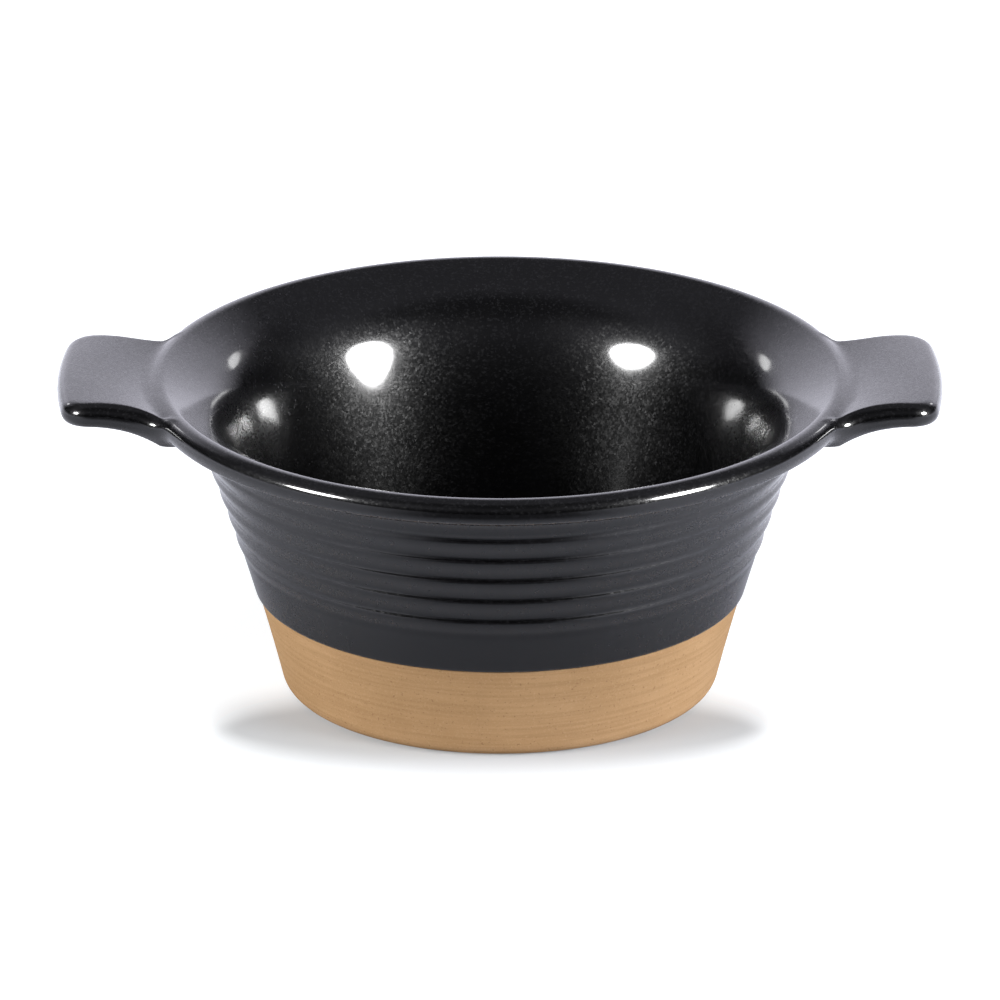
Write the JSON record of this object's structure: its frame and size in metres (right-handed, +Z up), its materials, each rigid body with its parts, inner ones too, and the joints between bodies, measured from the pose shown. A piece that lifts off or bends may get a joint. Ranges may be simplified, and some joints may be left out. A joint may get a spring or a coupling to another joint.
{
  "type": "pie dish",
  "caption": "Deep round stoneware pie dish with a flared ribbed wall, rounded lip and flat lug handles, glazed black above a bare clay foot, for baking and serving.",
  "frame": {"origin": "centre of the foot, on the surface the dish stands on", "axes": "+Z up along the axis of the bowl, +X through the middle of the right lug"},
  "size_m": [0.175, 0.14, 0.0654],
  "materials": {
    "bare_clay": "bare fired stoneware, matt, with fine turning lines",
    "black_glaze": "glossy black with a fine grey grain"
  },
  "bodies": {
    "root": {"clay_bowl": "bare_clay", "left_lug": "bare_clay", "right_lug": "bare_clay", "inner_glaze": "black_glaze", "outer_glaze": "black_glaze", "left_lug_glaze": "black_glaze", "right_lug_glaze": "black_glaze"}
  },
  "joints": []
}
